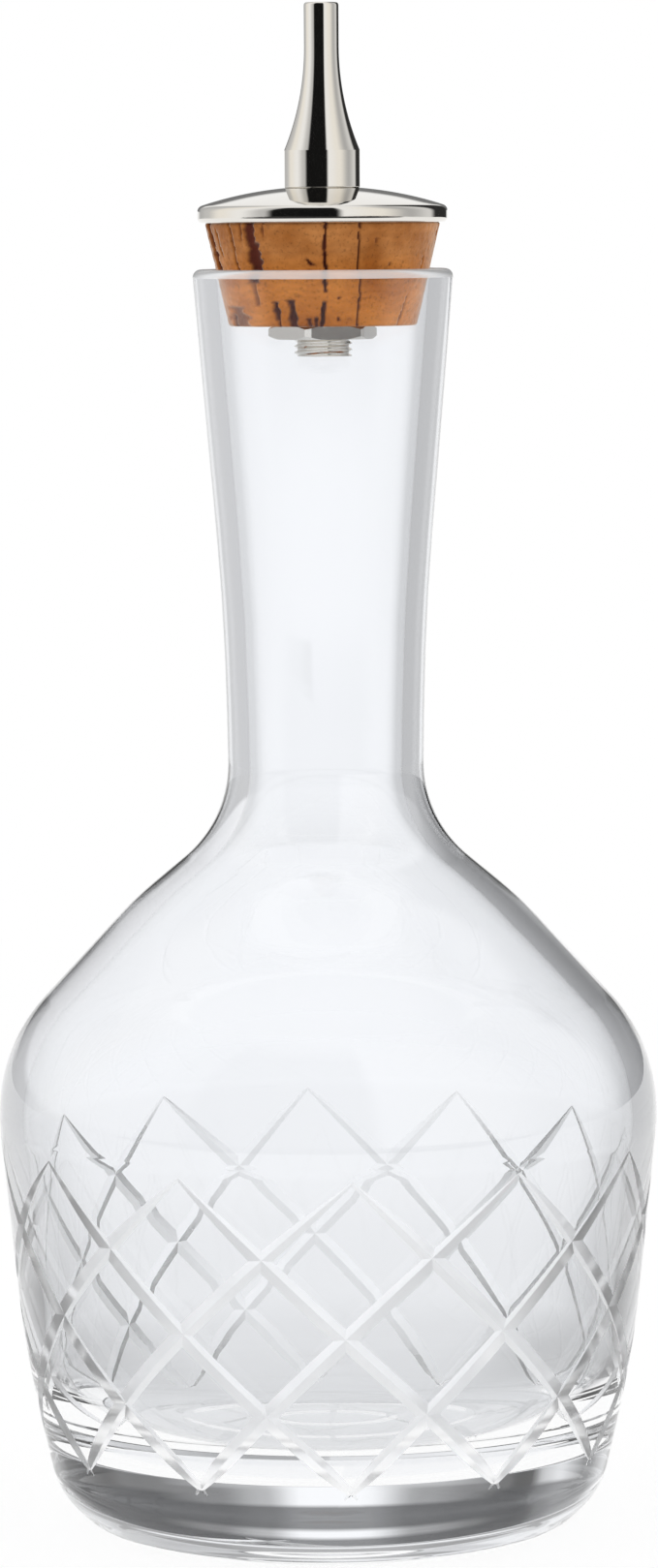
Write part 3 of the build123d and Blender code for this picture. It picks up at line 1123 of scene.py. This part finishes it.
# %% What the glass bends into view
low_ring, solid_low_ring, solid_high_ring, edge_ring = (
    ring_of_surroundings(world, direction, stops)
    for stops in (low_stops, solid_low_stops, solid_high_stops, edge_stops)
)
mirrored = math_node(world, "GREATER_THAN", world_rays["Glossy Depth"], NEVER)
solid_ring = colour_mix(world, mirrored, solid_high_ring, edge_ring)
solid_view = colour_mix(world, fade(world, upward, 0.025, 0.065), solid_low_ring, solid_ring)

window = product(world, fade(world, upward, 0.235, 0.190), fade(world, away, 0.87, 0.93))
dark_over = product(
    world,
    fade(world, upward, 0.10, 0.15),
    fade(world, upward, 0.62, 0.55),
    fade(world, away, 0.25, 0.5, high=0.80),
    rest_of(world, mirrored),
    rest_of(world, window),
)
solid_view = colour_mix(world, dark_over, solid_view, (0.03, 0.032, 0.036, 1))
solid = math_node(world, "LESS_THAN", world_rays["Transmission Depth"], SOLID_GLASS_COUNT)
glass_view = colour_mix(world, solid, low_ring, solid_view)

# %% [markdown]
# Just under the horizon on the camera's right is a dark stand. Only a ray that was mirrored before it left
# through the glass finds it, and so it shades the middle side of the nut.

# %% A dark stand for the nut
stand = product(
    world,
    fade(world, upward, 0.012, 0.006),
    fade(world, away, -0.50, -0.62),
    fade(world, side, 0.30, 0.36),
    fade(world, side, 0.50, 0.62, low=0.80, high=0.35),
    mirrored,
)
glass_view = colour_mix(world, stand, glass_view, (0.02, 0.02, 0.018, 1))

# %% [markdown]
# Matt surfaces get plain soft light, and the camera sees plain white. Light that reaches the cork
# through the neck loses a part at each surface, so there it is a little stronger.

# %% Light for matt surfaces
light_stops = [
    (0.00, 1.0), (0.20, 1.15), (0.35, 1.05), (0.50, 0.78), (0.65, 1.05), (0.80, 1.15), (1.00, 1.0),
]
plain_light = ring_of_surroundings(world, direction, light_stops)
inner_light = colour_mix(world, 1.0, plain_light, (1.6, 1.6, 1.6, 1), "MULTIPLY")
from_matt = math_node(world, "GREATER_THAN", world_rays["Diffuse Depth"], NEVER)
from_matt = product(world, from_matt, world_rays["Is Transmission Ray"])

shown = colour_mix(world, world_rays["Is Glossy Ray"], plain_light, metal_view)
shown = colour_mix(world, world_rays["Is Transmission Ray"], shown, glass_view)
shown = colour_mix(world, from_matt, shown, inner_light)
shown = colour_mix(world, world_rays["Is Camera Ray"], shown, PLAIN_WHITE)
link(world, shown, world.node_tree.nodes["Background"].inputs["Color"])

# %% [markdown]
# Two soft lamps from the front give the cork its shape. Metal and glass don't show them.

# %% Lamps
lamps_face = Vector((0, 0, 80 * mm))


def soft_lamp(name, place_at, size, power):
    """A square area lamp that faces the bottle, and that metal and glass don't show."""
    data = bpy.data.lights.new(name, "AREA")
    data.size = size
    data.energy = power
    lamp = bpy.data.objects.new(name, data)
    lamp.location = place_at
    lamp.rotation_euler = (lamps_face - Vector(place_at)).to_track_quat("-Z", "Y").to_euler()
    lamp.visible_glossy = False
    lamp.visible_transmission = False
    bpy.context.scene.collection.objects.link(lamp)


soft_lamp("left_softbox", (-0.6, -0.5, 0.5), size=0.5, power=1.6)
soft_lamp("right_softbox", (0.7, -0.3, 0.4), size=0.4, power=1.0)

# %% [markdown]
# The Standard view keeps the whites white.

# %% Picture settings
bpy.context.scene.view_settings.view_transform = "Standard"
